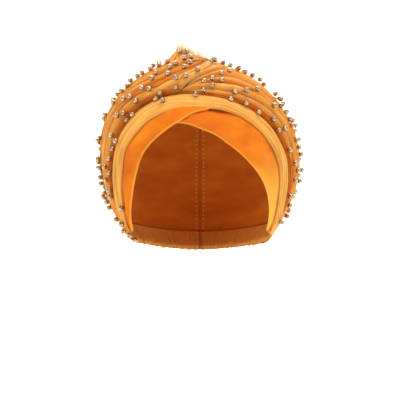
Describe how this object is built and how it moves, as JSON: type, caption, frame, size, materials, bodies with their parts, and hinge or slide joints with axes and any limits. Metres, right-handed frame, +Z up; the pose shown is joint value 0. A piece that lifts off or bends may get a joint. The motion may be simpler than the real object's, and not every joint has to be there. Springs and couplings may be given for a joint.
{
  "type": "beaded turban",
  "caption": "Pre-tied head wrap: velvet cap, crossed velvet brow panels, folded band, pleated net wraps gathered in a tuft, and gilt beads sewn on.",
  "frame": {"origin": "inside of the crown, where the cap bears on the top of the head", "axes": "+Z up, -Y the way the face looks, +X the wearer's left"},
  "size_m": [0.1846, 0.1945, 0.1935],
  "materials": {
    "amber_velvet": "short-pile velvet",
    "amber_net": "sheer net over velvet",
    "cream_net": "sheer crumpled net",
    "gilt_bead": "plated, antique gold"
  },
  "bodies": {
    "root": {"cap": "amber_velvet", "right_panel": "amber_velvet", "left_panel": "amber_velvet", "brow_band": "amber_net", "right_wrap": "amber_net", "left_wrap": "amber_net", "net_tuft": "cream_net", "bead_01": "gilt_bead", "bead_02": "gilt_bead", "bead_03": "gilt_bead", "bead_04": "gilt_bead", "bead_05": "gilt_bead", "bead_06": "gilt_bead", "bead_07": "gilt_bead", "bead_08": "gilt_bead", "bead_09": "gilt_bead", "bead_10": "gilt_bead", "bead_11": "gilt_bead", "bead_12": "gilt_bead", "bead_13": "gilt_bead", "bead_14": "gilt_bead", "bead_15": "gilt_bead", "bead_16": "gilt_bead", "bead_17": "gilt_bead", "bead_18": "gilt_bead", "bead_19": "gilt_bead", "bead_20": "gilt_bead", "bead_21": "gilt_bead", "bead_22": "gilt_bead", "bead_23": "gilt_bead", "bead_24": "gilt_bead", "bead_25": "gilt_bead", "bead_26": "gilt_bead", "bead_27": "gilt_bead", "bead_28": "gilt_bead", "bead_29": "gilt_bead", "bead_30": "gilt_bead", "bead_31": "gilt_bead", "bead_32": "gilt_bead", "bead_33": "gilt_bead", "bead_34": "gilt_bead", "bead_35": "gilt_bead", "bead_36": "gilt_bead", "bead_37": "gilt_bead", "bead_38": "gilt_bead", "bead_39": "gilt_bead", "bead_40": "gilt_bead"}
  },
  "joints": []
}
